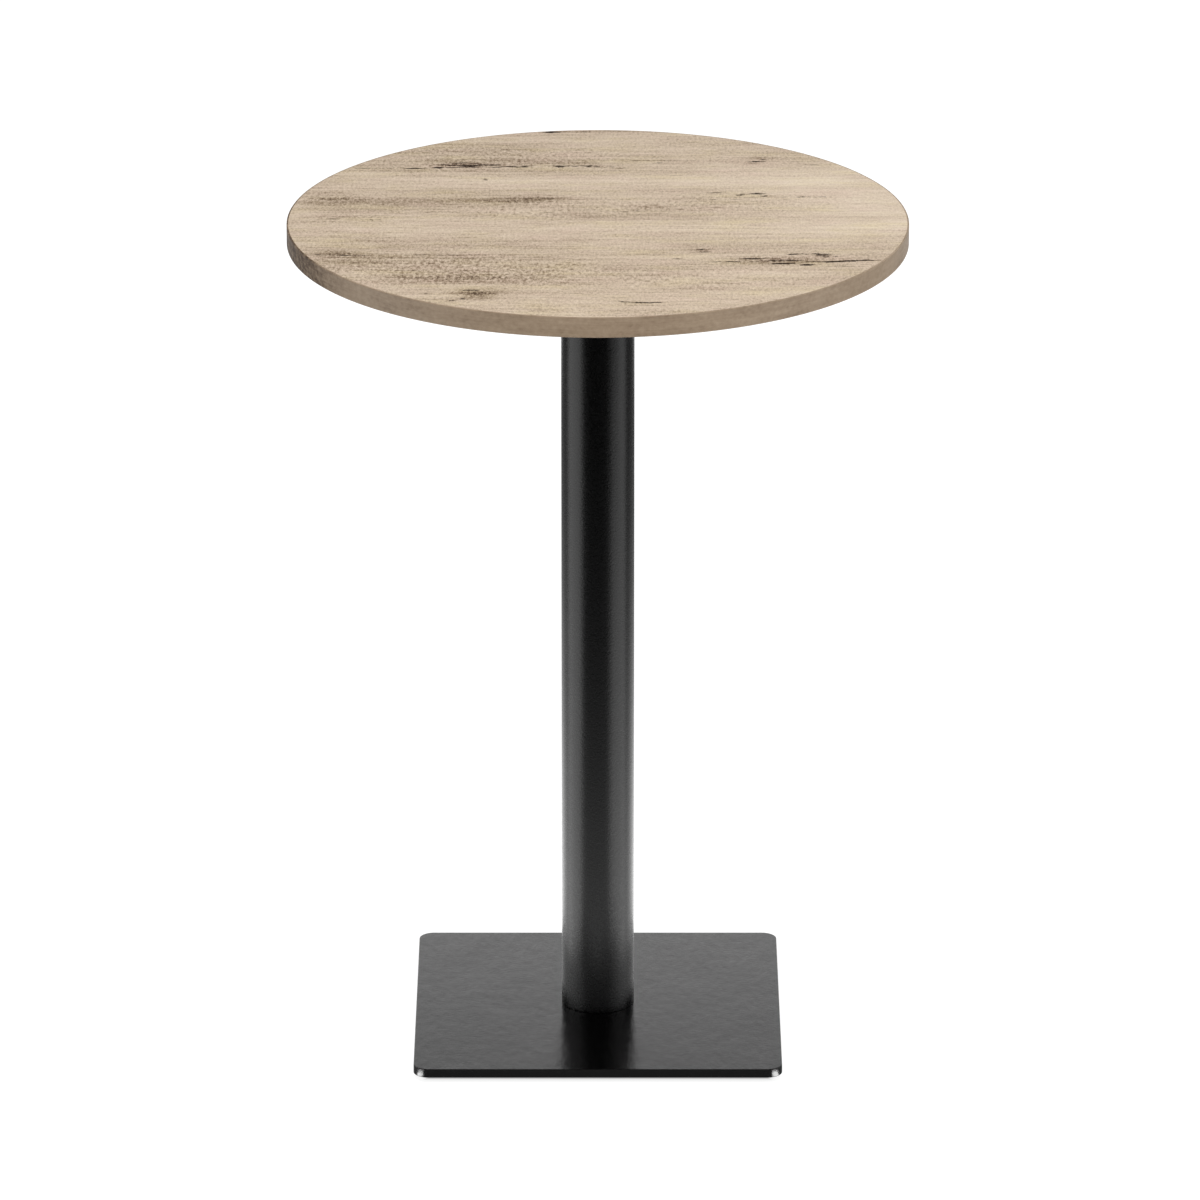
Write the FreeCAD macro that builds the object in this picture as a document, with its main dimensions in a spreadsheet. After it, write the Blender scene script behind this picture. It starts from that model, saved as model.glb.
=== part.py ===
"""Bar table: a round laminated top on one steel column and a square steel plate.

Millimetres, +Z up, +X to the right along the wood grain. The origin is on the floor, under the
column's axis. The top hangs together as board, laminates and edge band, the column as a tube
with a tapped disc in each end, and the base plate stands on four screw-in levelling feet.
"""

import FreeCAD, Part

import os
import re

import Sketcher

# Driving dimensions: name, size in millimetres (or a count), meaning
SIZES = (
    ("table_height", 1100, "floor to the upper face of the top"),
    ("top_diameter", 800, "across the edge band"),
    ("core_thickness", 25, "chipboard core"),
    ("laminate_thickness", 0.8, "each laminate sheet"),
    ("band_thickness", 2, "plastic edge band"),
    ("band_round", 1, "radius along both outer edges of the band"),
    ("glue_line", 0.1, "between the board and its edge band"),
    ("mount_diameter", 320, "steel mounting plate under the top"),
    ("mount_thickness", 6, "mounting plate"),
    ("mount_edge_round", 1, "radius along the mounting plate's rims"),
    ("wood_screw_count", 8, "screws that hold the top"),
    ("wood_screw_margin", 20, "mounting plate's rim to the screws' axes"),
    ("wood_screw_diameter", 5, "over the thread"),
    ("wood_screw_length", 25, "under the head"),
    ("wood_screw_point", 4, "tapered tip"),
    ("wood_screw_pitch", 2.2, "thread"),
    ("wood_screw_head_diameter", 9.5, "pan head"),
    ("wood_screw_head_height", 3.2, "pan head"),
    ("wood_screw_recess_width", 1.1, "arms of the cross recess"),
    ("wood_screw_recess_reach", 2.6, "recess centre to the end of an arm"),
    ("wood_screw_recess_depth", 1.8, "cross recess"),
    ("pilot_allowance", 1, "pilot hole beyond the screw's tip"),
    ("screw_clearance", 0.25, "between a screw and the plain hole it passes through, each side"),
    ("thread_clearance", 0.05, "between a thread and its tapped hole, each side"),
    ("column_diameter", 95, "outside of the tube"),
    ("column_wall", 2, "tube"),
    ("column_end_round", 0.8, "radius along the tube's two outer end edges"),
    ("disc_thickness", 10, "discs in the column's ends"),
    ("disc_clearance", 0.05, "between a disc and the tube, each side"),
    ("bolt_count", 4, "countersunk screws at each end of the column"),
    ("bolt_margin", 15.5, "tube's bore to the countersunk screws' axes"),
    ("seat_clearance", 0.1, "between a countersunk head and its seat"),
    ("head_sink", 0.2, "countersunk heads below their faces"),
    ("top_bolt_diameter", 8, "countersunk screws, top end"),
    ("top_bolt_length", 16, "over all"),
    ("top_bolt_pitch", 1.25, "thread"),
    ("top_bolt_head_diameter", 16, "head"),
    ("top_bolt_head_height", 4.4, "head"),
    ("top_bolt_key", 5, "across the flats of the socket"),
    ("top_bolt_key_depth", 2.6, "socket"),
    ("base_bolt_diameter", 10, "countersunk screws, base end"),
    ("base_bolt_length", 20, "over all"),
    ("base_bolt_pitch", 1.5, "thread"),
    ("base_bolt_head_diameter", 20, "head"),
    ("base_bolt_head_height", 5.5, "head"),
    ("base_bolt_key", 6, "across the flats of the socket"),
    ("base_bolt_key_depth", 3.2, "socket"),
    ("base_side", 480, "square base plate"),
    ("base_thickness", 12, "base plate"),
    ("base_corner_radius", 20, "base plate seen from above"),
    ("base_edge_round", 1, "radius along the base plate's rims"),
    ("foot_inset", 45, "base plate's sides to the feet's axes"),
    ("foot_bore_depth", 9.5, "tapped blind hole"),
    ("stud_diameter", 8, "over the thread"),
    ("stud_pitch", 1.25, "thread"),
    ("stud_thread_length", 8.5, "above the hexagon"),
    ("stud_tip_chamfer", 0.8, "thread's upper end"),
    ("hexagon_width", 13, "across the flats"),
    ("hexagon_height", 2.4, "under the base plate"),
    ("neck_diameter", 6, "between the hexagon and the collar"),
    ("collar_diameter", 9, "held in the pad's socket"),
    ("collar_height", 1.6, "held in the pad's socket"),
    ("swivel_clearance", 0.05, "between the stud and its pad, each side"),
    ("swivel_gap", 0.2, "pad to hexagon, and collar to the socket's roof"),
    ("pad_diameter", 30, "plastic pad"),
    ("pad_height", 4.6, "plastic pad"),
    ("pad_rim_height", 2, "upright rim of the pad"),
    ("pad_crown_diameter", 17, "flat crown round the neck"),
    ("pad_floor", 1, "under the socket"),
    ("sole_diameter", 24, "rubber sole"),
    ("sole_thickness", 1.6, "rubber sole"),
    ("sole_proud", 0.8, "rubber sole below the pad"),
    ("sole_clearance", 0.05, "between the sole and its recess, each side"),
    ("cut_overrun", 0.5, "how far every cut starts outside the face it enters"),
)

# Shares of a thread's pitch, and the half width of a hexagon's corner as a share of its flats
THREAD_DEPTH_SHARE = 0.61
THREAD_OPENING_SHARE = 0.44
WOOD_THREAD_DEPTH_SHARE = 0.4
HEXAGON_CORNER_SHARE = 0.57735
PAN_CROWN_SHARE = 0.6

NAMES = {name for name, size, meaning in SIZES}

# Levels above the floor and places, worked out from the driving dimensions
PLATE_UNDERSIDE = "(sole_proud + pad_height + swivel_gap + hexagon_height)"
PLATE_FACE = f"({PLATE_UNDERSIDE} + base_thickness)"
DECOR_UNDERSIDE = "(table_height - laminate_thickness)"
CORE_UNDERSIDE = f"({DECOR_UNDERSIDE} - core_thickness)"
BOARD_UNDERSIDE = f"({CORE_UNDERSIDE} - laminate_thickness)"
COLUMN_HEAD = f"({BOARD_UNDERSIDE} - mount_thickness)"
BOARD_RADIUS = "(top_diameter / 2 - band_thickness - glue_line)"
WOOD_SCREW_RING = "(mount_diameter / 2 - wood_screw_margin)"
TUBE_BORE = "(column_diameter / 2 - column_wall)"
BOLT_RING = f"({TUBE_BORE} - bolt_margin)"
FOOT_PLACE = "(base_side / 2 - foot_inset)"
PAD_SOCKET_FLOOR = "(sole_thickness - sole_proud + pad_floor)"

# Each foot's name, and the sides of the origin that it stands on
FEET = (
    ("front_left", -1, -1),
    ("front_right", 1, -1),
    ("back_right", 1, 1),
    ("back_left", -1, 1),
)

document = FreeCAD.newDocument("bar_table")


def make_sheet():
    """The spreadsheet of driving dimensions, one row each."""
    sheet = document.addObject("Spreadsheet::Sheet", "Sizes")
    for row, (name, size, meaning) in enumerate(SIZES, start=1):
        sheet.set(f"A{row}", meaning)
        sheet.set(f"B{row}", str(size))
        sheet.setAlias(f"B{row}", name)
    document.recompute()
    return sheet


def bound(text):
    """The expression with each size's name pointed at its cell."""
    return re.sub(
        r"[a-z_]+",
        lambda found: f"Sizes.{found[0]}" if found[0] in NAMES else found[0],
        text,
    )


def value(text):
    """What the expression comes to with the sheet's present sizes."""
    return float(SHEET.evalExpression(bound(text)))


def bind(item, **expressions):
    """Ties properties of an object to the sheet."""
    for name, text in expressions.items():
        item.setExpression(name, bound(text))


def lift(item, height):
    """Sets an object's height above the floor."""
    item.setExpression("Placement.Base.z", bound(height))


def new_body(name):
    body = document.addObject("PartDesign::Body", name)
    body.Label = name
    return body


def origin_part(body, role):
    """The body's own origin plane or axis of that role."""
    return next(part for part in body.Origin.OriginFeatures if part.Role == role)


def new_sketch(body, name, plane):
    sketch = body.newObject("Sketcher::SketchObject", name)
    sketch.AttachmentSupport = [(origin_part(body, plane), "")]
    sketch.MapMode = "FlatFace"
    return sketch


def pin_point(sketch, geometry, point, place):
    """Holds a point of a sketch at a place given by two expressions."""
    for kind, text in zip(("DistanceX", "DistanceY"), place):
        size = value(text)
        if size < 0:
            constraint = Sketcher.Constraint(kind, geometry, point, -1, 1, -size)
            text = f"-({text})"
        else:
            constraint = Sketcher.Constraint(kind, -1, 1, geometry, point, size)
        index = sketch.addConstraint(constraint)
        sketch.setExpression(f"Constraints[{index}]", bound(text))


def add_outline(sketch, corners):
    """Draws a closed outline through corners, each a pair of expressions."""
    places = [FreeCAD.Vector(value(x), value(y), 0) for x, y in corners]
    count = len(places)
    first = sketch.GeometryCount
    for number, place in enumerate(places):
        line = Part.LineSegment(place, places[(number + 1) % count])
        sketch.addGeometry(line, False)
    for number, corner in enumerate(corners):
        after = first + (number + 1) % count
        joint = Sketcher.Constraint("Coincident", first + number, 2, after, 1)
        sketch.addConstraint(joint)
        pin_point(sketch, first + number, 1, corner)


def add_circle(sketch, centre, radius):
    """Draws a circle at a centre, a pair of expressions."""
    x, y = (value(text) for text in centre)
    circle = Part.Circle(FreeCAD.Vector(x, y, 0), FreeCAD.Vector(0, 0, 1), value(radius))
    number = sketch.addGeometry(circle, False)
    pin_point(sketch, number, 3, centre)
    index = sketch.addConstraint(Sketcher.Constraint("Radius", number, value(radius)))
    sketch.setExpression(f"Constraints[{index}]", bound(radius))


def add_turning_axis(sketch, offset):
    """Draws an upright construction line to turn a profile about. Returns its reference name."""
    ends = (FreeCAD.Vector(value(offset), 0, 0), FreeCAD.Vector(value(offset), 1, 0))
    line = sketch.addGeometry(Part.LineSegment(*ends), True)
    pin_point(sketch, line, 1, (offset, "0"))
    sketch.addConstraint(Sketcher.Constraint("Vertical", line))
    return "Axis0"


def turn(body, name, corners, offset=None, cut=False):
    """Turns an outline of (radius, height) about the body's upright axis, or about one beside it."""
    sketch = new_sketch(body, f"{name}_profile", "XZ_Plane")
    if offset:
        corners = [(f"{offset} + {radius}", height) for radius, height in corners]
    add_outline(sketch, corners)
    axis = add_turning_axis(sketch, offset) if offset else "V_Axis"
    kind = "PartDesign::Groove" if cut else "PartDesign::Revolution"
    feature = body.newObject(kind, name)
    feature.Profile = sketch
    feature.ReferenceAxis = (sketch, [axis])
    feature.Angle = 360
    document.recompute()
    return feature


def pad_disc(body, name, radius, thickness):
    sketch = new_sketch(body, f"{name}_outline", "XY_Plane")
    add_circle(sketch, ("0", "0"), radius)
    return pad(body, name, sketch, thickness)


def pad(body, name, sketch, thickness):
    feature = body.newObject("PartDesign::Pad", name)
    feature.Profile = sketch
    bind(feature, Length=thickness)
    document.recompute()
    return feature


def cut_hole(body, name, centre, radius, depth):
    """Cuts a round hole upwards from the body's lower face."""
    sketch = new_sketch(body, f"{name}_outline", "XY_Plane")
    add_circle(sketch, centre, radius)
    feature = body.newObject("PartDesign::Pocket", name)
    feature.Profile = sketch
    feature.Reversed = True
    bind(feature, Length=depth)
    document.recompute()
    return feature


def round_edges(body, name, base, radius, chosen):
    """Rounds the edges of a feature that the test picks."""
    edges = [
        f"Edge{number}"
        for number, edge in enumerate(base.Shape.Edges, start=1)
        if chosen(edge)
    ]
    feature = body.newObject("PartDesign::Fillet", name)
    feature.Base = (base, edges)
    bind(feature, Radius=radius)
    document.recompute()
    return feature


def repeat_round(body, name, originals, count):
    """Repeats features, or with none the whole shape, round the body's upright axis."""
    feature = body.newObject("PartDesign::PolarPattern", name)
    if originals:
        feature.Originals = originals
    else:
        feature.TransformMode = "Whole shape"
    feature.Axis = (origin_part(body, "Z_Axis"), [""])
    feature.Angle = 360
    bind(feature, Occurrences=count)
    body.Tip = feature
    document.recompute()
    return feature


def repeat_up(body, name, original, spacing, count):
    """Repeats a feature upwards."""
    feature = body.newObject("PartDesign::LinearPattern", name)
    feature.Originals = [original]
    feature.Direction = (origin_part(body, "Z_Axis"), [""])
    feature.Mode = "Spacing"
    bind(feature, Offset=spacing, Occurrences=count)
    body.Tip = feature
    document.recompute()
    return feature


def cut_thread(body, radius, bottom, length, pitch, depth_share, offset=None):
    """Cuts ring grooves of a thread's section into a round shank, from its lower end upwards."""
    opening = f"{pitch} * {THREAD_OPENING_SHARE}"
    depth = f"{pitch} * {depth_share}"
    middle = f"{bottom} + {pitch}"
    profile = (
        (f"{radius} - {depth}", middle),
        (radius, f"{middle} - {opening}"),
        (f"{radius} + cut_overrun", f"{middle} - {opening}"),
        (f"{radius} + cut_overrun", f"{middle} + {opening}"),
        (radius, f"{middle} + {opening}"),
    )
    groove = turn(body, "thread_groove", profile, offset, cut=True)
    count = f"max(floor({length} / {pitch}) - 1; 1)"
    return repeat_up(body, "thread", groove, pitch, count)


def hexagon(width, offset="0"):
    """The corners of a hexagon of that width over its flats, centred beside the axis."""
    corner = f"{width} * {HEXAGON_CORNER_SHARE}"
    half = f"{width} / 2"
    return (
        (f"{offset} + {corner}", "0"),
        (f"{offset} + {corner} / 2", half),
        (f"{offset} - {corner} / 2", half),
        (f"{offset} - {corner}", "0"),
        (f"{offset} - {corner} / 2", f"-{half}"),
        (f"{offset} + {corner} / 2", f"-{half}"),
    )


def cross(width, reach, offset):
    """The corners of a plus-shaped recess, centred beside the axis."""
    half = f"{width} / 2"
    turns = (
        (reach, half),
        (half, half),
        (half, reach),
        (f"-{half}", reach),
        (f"-{half}", half),
        (f"-{reach}", half),
        (f"-{reach}", f"-{half}"),
        (f"-{half}", f"-{half}"),
        (f"-{half}", f"-{reach}"),
        (half, f"-{reach}"),
        (half, f"-{half}"),
        (reach, f"-{half}"),
    )
    return tuple((f"{offset} + {x}", y) for x, y in turns)


def cut_socket(body, corners, depth):
    """Cuts a driver's recess upwards into the lower face of a screw's head."""
    sketch = new_sketch(body, "recess_outline", "XY_Plane")
    add_outline(sketch, corners)
    feature = body.newObject("PartDesign::Pocket", "recess")
    feature.Profile = sketch
    feature.Reversed = True
    bind(feature, Length=depth)
    document.recompute()
    return feature


def make_core_board():
    """Chipboard disc with a blind pilot hole for each wood screw."""
    body = new_body("top_core_board")
    pad_disc(body, "board", BOARD_RADIUS, "core_thickness")
    depth = "wood_screw_length + pilot_allowance - mount_thickness - laminate_thickness"
    radius = "wood_screw_diameter / 2 + thread_clearance"
    hole = cut_hole(body, "pilot_hole", (WOOD_SCREW_RING, "0"), radius, depth)
    repeat_round(body, "pilot_holes", [hole], "wood_screw_count")
    lift(body, CORE_UNDERSIDE)
    return body


def make_decor_laminate():
    """Wood-look laminate over the whole upper face."""
    sheet = document.addObject("Part::Cylinder", "top_decor_laminate")
    bind(sheet, Radius=BOARD_RADIUS, Height="laminate_thickness")
    lift(sheet, DECOR_UNDERSIDE)
    return sheet


def make_backing_laminate():
    """Plain laminate under the board, pierced by the wood screws."""
    body = new_body("top_backing_laminate")
    pad_disc(body, "sheet", BOARD_RADIUS, "laminate_thickness")
    radius = "wood_screw_diameter / 2 + thread_clearance"
    hole = cut_hole(body, "hole", (WOOD_SCREW_RING, "0"), radius, "laminate_thickness")
    repeat_round(body, "holes", [hole], "wood_screw_count")
    lift(body, BOARD_UNDERSIDE)
    return body


def make_edge_band():
    """Plastic band round the board and both laminates, its two outer edges rounded."""
    body = new_body("top_edge_band")
    inside = f"{BOARD_RADIUS} + glue_line"
    outside = "top_diameter / 2"
    height = "core_thickness + 2 * laminate_thickness"
    profile = ((inside, "0"), (outside, "0"), (outside, height), (inside, height))
    band = turn(body, "band", profile)
    middle = (value(inside) + value(outside)) / 2

    def is_outer_rim(edge):
        return hasattr(edge.Curve, "Radius") and edge.Curve.Radius > middle

    round_edges(body, "rims", band, "band_round", is_outer_rim)
    lift(body, BOARD_UNDERSIDE)
    return body


def make_mounting_plate():
    """Round steel plate between the column and the top, screwed to both."""
    body = new_body("top_mounting_plate")
    disc = pad_disc(body, "plate", "mount_diameter / 2", "mount_thickness")
    round_edges(body, "rims", disc, "mount_edge_round", lambda edge: True)
    radius = "wood_screw_diameter / 2 + screw_clearance"
    hole = cut_hole(body, "screw_hole", (WOOD_SCREW_RING, "0"), radius, "mount_thickness")
    repeat_round(body, "screw_holes", [hole], "wood_screw_count")
    sinking(body, "top_bolt", "mount_thickness", up=False)
    lift(body, COLUMN_HEAD)
    return body


def sinking(body, bolt, thickness, up):
    """Cuts the countersunk holes through a plate whose lower face is the body's zero level."""
    head = f"{bolt}_head_diameter / 2 + seat_clearance"
    shank = f"{bolt}_diameter / 2 + screw_clearance"
    sink = f"head_sink + {bolt}_head_height"
    profile = [
        ("0", "-cut_overrun"),
        (head, "-cut_overrun"),
        (head, "head_sink"),
        (shank, sink),
        (shank, f"{thickness} + cut_overrun"),
        ("0", f"{thickness} + cut_overrun"),
    ]
    if not up:
        profile = [(radius, f"{thickness} - ({height})") for radius, height in profile]
    cut = turn(body, "countersink", profile, BOLT_RING, cut=True)
    repeat_round(body, "countersinks", [cut], "bolt_count")


def make_wood_screws():
    """Pan head wood screws from below, one solid each."""
    body = new_body("top_wood_screws")
    body.AllowCompound = True
    head = "wood_screw_head_diameter / 2"
    shank = "wood_screw_diameter / 2"
    shoulder = "wood_screw_head_height"
    tip = f"{shoulder} + wood_screw_length"
    profile = (
        ("0", "0"),
        (f"{head} * {PAN_CROWN_SHARE}", "0"),
        (head, f"{shoulder} * (1 - {PAN_CROWN_SHARE})"),
        (head, shoulder),
        (shank, shoulder),
        (shank, f"{tip} - wood_screw_point"),
        ("0", tip),
    )
    turn(body, "blank", profile, WOOD_SCREW_RING)
    plain = f"{shoulder} + mount_thickness"
    length = f"(wood_screw_length - mount_thickness - wood_screw_point)"
    share = WOOD_THREAD_DEPTH_SHARE
    cut_thread(body, shank, plain, length, "wood_screw_pitch", share, WOOD_SCREW_RING)
    corners = cross("wood_screw_recess_width", "wood_screw_recess_reach", WOOD_SCREW_RING)
    cut_socket(body, corners, "wood_screw_recess_depth")
    repeat_round(body, "screws", None, "wood_screw_count")
    lift(body, f"{COLUMN_HEAD} - wood_screw_head_height")
    return body


def make_bolts(name, bolt):
    """Countersunk socket screws pointing up, one solid each, their heads at the zero level."""
    body = new_body(name)
    body.AllowCompound = True
    head = f"{bolt}_head_diameter / 2"
    shank = f"{bolt}_diameter / 2"
    neck = f"{bolt}_head_height"
    tip = f"{bolt}_length"
    chamfer = f"{bolt}_pitch"
    profile = (
        ("0", "0"),
        (head, "0"),
        (shank, neck),
        (shank, f"{tip} - {chamfer}"),
        (f"{shank} - {chamfer}", tip),
        ("0", tip),
    )
    turn(body, "blank", profile, BOLT_RING)
    length = f"({bolt}_length - {bolt}_head_height)"
    pitch = f"{bolt}_pitch"
    cut_thread(body, shank, neck, length, pitch, THREAD_DEPTH_SHARE, BOLT_RING)
    cut_socket(body, hexagon(f"{bolt}_key", BOLT_RING), f"{bolt}_key_depth")
    repeat_round(body, "screws", None, "bolt_count")
    return body


def make_top_bolts():
    """The column's upper screws, heads up, turned over about the X axis."""
    body = make_bolts("column_top_screws", "top_bolt")
    body.Placement.Rotation = FreeCAD.Rotation(FreeCAD.Vector(1, 0, 0), 180)
    lift(body, f"{BOARD_UNDERSIDE} - head_sink")
    return body


def make_base_bolts():
    """The column's lower screws, heads down in the base plate."""
    body = make_bolts("base_fixing_screws", "base_bolt")
    lift(body, f"{PLATE_UNDERSIDE} + head_sink")
    return body


def make_disc(name, bolt, level):
    """Steel disc welded into an end of the tube, tapped for its screws."""
    body = new_body(name)
    pad_disc(body, "disc", f"{TUBE_BORE} - disc_clearance", "disc_thickness")
    radius = f"{bolt}_diameter / 2 + thread_clearance"
    hole = cut_hole(body, "tapped_hole", (BOLT_RING, "0"), radius, "disc_thickness")
    repeat_round(body, "tapped_holes", [hole], "bolt_count")
    lift(body, level)
    return body


def make_column_tube():
    """Steel tube from the base plate's face to the mounting plate."""
    body = new_body("column_tube")
    sketch = new_sketch(body, "tube_outline", "XY_Plane")
    add_circle(sketch, ("0", "0"), "column_diameter / 2")
    add_circle(sketch, ("0", "0"), TUBE_BORE)
    tube = pad(body, "tube", sketch, f"{COLUMN_HEAD} - {PLATE_FACE}")
    bore = value(TUBE_BORE)

    def is_outer_end(edge):
        return hasattr(edge.Curve, "Radius") and edge.Curve.Radius > bore

    round_edges(body, "ends", tube, "column_end_round", is_outer_end)
    lift(body, PLATE_FACE)
    return body


def make_base_plate():
    """Solid steel plate, with countersunk holes for the column and tapped holes for the feet."""
    body = new_body("base_plate")
    sketch = new_sketch(body, "plate_outline", "XY_Plane")
    half = "base_side / 2"
    corners = ((f"-{half}", f"-{half}"), (half, f"-{half}"), (half, half), (f"-{half}", half))
    add_outline(sketch, corners)
    plate = pad(body, "plate", sketch, "base_thickness")

    def is_upright(edge):
        return abs(edge.tangentAt(edge.FirstParameter).z) > 0.5

    rounded = round_edges(body, "corners", plate, "base_corner_radius", is_upright)
    round_edges(body, "rims", rounded, "base_edge_round", lambda edge: not is_upright(edge))
    sinking(body, "base_bolt", "base_thickness", up=True)
    radius = "stud_diameter / 2 + thread_clearance"
    hole = cut_hole(body, "foot_bore", (FOOT_PLACE, FOOT_PLACE), radius, "foot_bore_depth")
    repeat_round(body, "foot_bores", [hole], str(len(FEET)))
    lift(body, PLATE_UNDERSIDE)
    return body


def stand_at_foot(item, across, along, level):
    """Places a piece on a foot's axis."""
    item.setExpression("Placement.Base.x", bound(f"{across} * {FOOT_PLACE}"))
    item.setExpression("Placement.Base.y", bound(f"{along} * {FOOT_PLACE}"))
    lift(item, level)


def make_foot_pad(name, across, along):
    """Plastic pad: a low cone with a snap-in socket above and a shallow recess below."""
    body = new_body(f"foot_pad_{name}")
    recess = "sole_diameter / 2 + sole_clearance"
    socket = "collar_diameter / 2 + swivel_clearance"
    throat = "neck_diameter / 2 + swivel_clearance"
    roof = f"{PAD_SOCKET_FLOOR} + collar_height + swivel_gap"
    profile = (
        ("0", "sole_thickness - sole_proud"),
        (recess, "sole_thickness - sole_proud"),
        (recess, "0"),
        ("pad_diameter / 2", "0"),
        ("pad_diameter / 2", "pad_rim_height"),
        ("pad_crown_diameter / 2", "pad_height"),
        (throat, "pad_height"),
        (throat, roof),
        (socket, roof),
        (socket, PAD_SOCKET_FLOOR),
        ("0", PAD_SOCKET_FLOOR),
    )
    turn(body, "pad", profile)
    stand_at_foot(body, across, along, "sole_proud")
    return body


def make_foot_sole(name, across, along):
    """Rubber disc pressed into the pad's recess, a little proud of it."""
    sole = document.addObject("Part::Cylinder", f"foot_sole_{name}")
    bind(sole, Radius="sole_diameter / 2", Height="sole_thickness")
    stand_at_foot(sole, across, along, "0")
    return sole


def make_foot_stud(name, across, along):
    """Threaded stud with a hexagon for the spanner and a collar that turns in the pad."""
    body = new_body(f"foot_stud_{name}")
    collar = "collar_diameter / 2"
    neck = "neck_diameter / 2"
    thread = "stud_diameter / 2"
    hexagon_bottom = f"(pad_height - {PAD_SOCKET_FLOOR} + swivel_gap)"
    shoulder = f"({hexagon_bottom} + hexagon_height)"
    tip = f"{shoulder} + stud_thread_length"
    profile = (
        ("0", "0"),
        (collar, "0"),
        (collar, "collar_height"),
        (neck, "collar_height"),
        (neck, hexagon_bottom),
        ("hexagon_width / 2", hexagon_bottom),
        ("hexagon_width / 2", shoulder),
        (thread, shoulder),
        (thread, f"{tip} - stud_tip_chamfer"),
        (f"{thread} - stud_tip_chamfer", tip),
        ("0", tip),
    )
    turn(body, "blank", profile)
    sketch = new_sketch(body, "hexagon_outline", "XY_Plane")
    sketch.setExpression("AttachmentOffset.Base.z", bound(hexagon_bottom))
    add_outline(sketch, hexagon("hexagon_width"))
    pad(body, "hexagon", sketch, "hexagon_height")
    cut_thread(body, thread, shoulder, "stud_thread_length", "stud_pitch", THREAD_DEPTH_SHARE)
    stand_at_foot(body, across, along, f"sole_proud + {PAD_SOCKET_FLOOR}")
    return body


def make_table():
    """Every piece of the table, from the top down."""
    pieces = [
        make_core_board(),
        make_decor_laminate(),
        make_backing_laminate(),
        make_edge_band(),
        make_mounting_plate(),
        make_wood_screws(),
        make_disc("column_top_disc", "top_bolt", f"{COLUMN_HEAD} - disc_thickness"),
        make_top_bolts(),
        make_column_tube(),
        make_disc("column_bottom_disc", "base_bolt", PLATE_FACE),
        make_base_bolts(),
        make_base_plate(),
    ]
    for foot in FEET:
        pieces += [make_foot_pad(*foot), make_foot_sole(*foot), make_foot_stud(*foot)]
    return pieces


def check(pieces):
    """Stops with a message if any object failed or a piece has no sound solid."""
    document.recompute()
    for item in document.Objects:
        if {"Invalid", "Error"} & set(item.State):
            raise RuntimeError(f"{item.Name} failed: {item.State}")
    for piece in pieces:
        if piece.Shape.isNull() or not piece.Shape.isValid() or not piece.Shape.Solids:
            raise RuntimeError(f"{piece.Label} has no sound solid")


def write(pieces):
    os.makedirs("parts", exist_ok=True)
    for piece in pieces:
        piece.Shape.exportStep(f"parts/{piece.Label}.step")
        box = piece.Shape.BoundBox
        print(f"{piece.Label}: {len(piece.Shape.Solids)} solid(s), {piece.Shape.Volume:.0f} mm3,")
        print(f"  z {box.ZMin:.2f} to {box.ZMax:.2f}")


SHEET = make_sheet()
PIECES = make_table()
check(PIECES)
write(PIECES)
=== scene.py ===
"""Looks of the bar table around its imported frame. Metres, +Z up, wood grain along X."""

import math

import bmesh
import bpy
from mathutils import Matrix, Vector


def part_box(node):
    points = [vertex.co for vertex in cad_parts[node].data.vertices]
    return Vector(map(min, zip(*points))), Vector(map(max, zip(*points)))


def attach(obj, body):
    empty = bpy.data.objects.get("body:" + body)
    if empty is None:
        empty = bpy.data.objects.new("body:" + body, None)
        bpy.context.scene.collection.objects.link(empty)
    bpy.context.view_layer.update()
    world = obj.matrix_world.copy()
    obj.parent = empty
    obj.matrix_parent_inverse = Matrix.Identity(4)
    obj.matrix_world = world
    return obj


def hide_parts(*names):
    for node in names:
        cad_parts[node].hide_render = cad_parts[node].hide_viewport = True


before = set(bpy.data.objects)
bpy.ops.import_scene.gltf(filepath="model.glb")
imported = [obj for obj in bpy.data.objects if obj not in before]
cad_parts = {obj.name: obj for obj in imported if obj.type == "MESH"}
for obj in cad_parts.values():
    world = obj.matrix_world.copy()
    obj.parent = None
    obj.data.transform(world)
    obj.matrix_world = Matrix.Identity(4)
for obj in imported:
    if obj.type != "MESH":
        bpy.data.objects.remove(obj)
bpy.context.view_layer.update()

MM = 0.001
QUARTER = math.tau / 4
WHITE = (1.0, 1.0, 1.0, 1.0)
BLACK = (0.0, 0.0, 0.0, 1.0)
FEET = ("front_left", "front_right", "back_right", "back_left")

# Camera that sees the table as the photograph does: place, slope, focal length and far limit
CAMERA_PLACE = (0.0028, -11.772, 4.820)
CAMERA_SLOPE = 0.34555
FOCAL_PIXELS = 9598
FRAME_PIXELS = 1200
SENSOR_WIDTH = 36
CAMERA_FAR = 100.0

# A range is from and to, and then what these become, which is 0 and 1 where nothing else is said.

# Floor: half its side, and how far it lies under the feet's soles, so that these show from below
FLOOR_HALF_SIDE = 14.0
FLOOR_DROP = 0.2 * MM
# How the floor that the camera sees darkens under the base, by distance from the middle: a painted
# contact shadow
FLOOR_PAINTED_SHADOW = (0.214, 0.229, 0.1, 1.0)
FLOOR_WHITE = 0.9
FLOOR_SHADE = (0.3, 0.3, 0.3, 1.0)
# Radiance of the floor in reflections, by metres from the column's axis, ahead of it and behind
FLOOR_REACH = 2.6
FLOOR_AHEAD = ((0.0, 1.05), (0.45, 1.02), (0.8, 0.58), (1.2, 0.2), (1.6, 0.07), (2.0, 0.015), (2.6, 0.0))
FLOOR_BEHIND = ((0.0, 2.6), (0.55, 2.5), (1.0, 1.5), (1.4, 0.8), (1.9, 0.35), (2.6, 0.12))
# How the floor goes from one to the other, by the share of the way back
FLOOR_TURN = (-0.3, 0.9)
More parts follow.
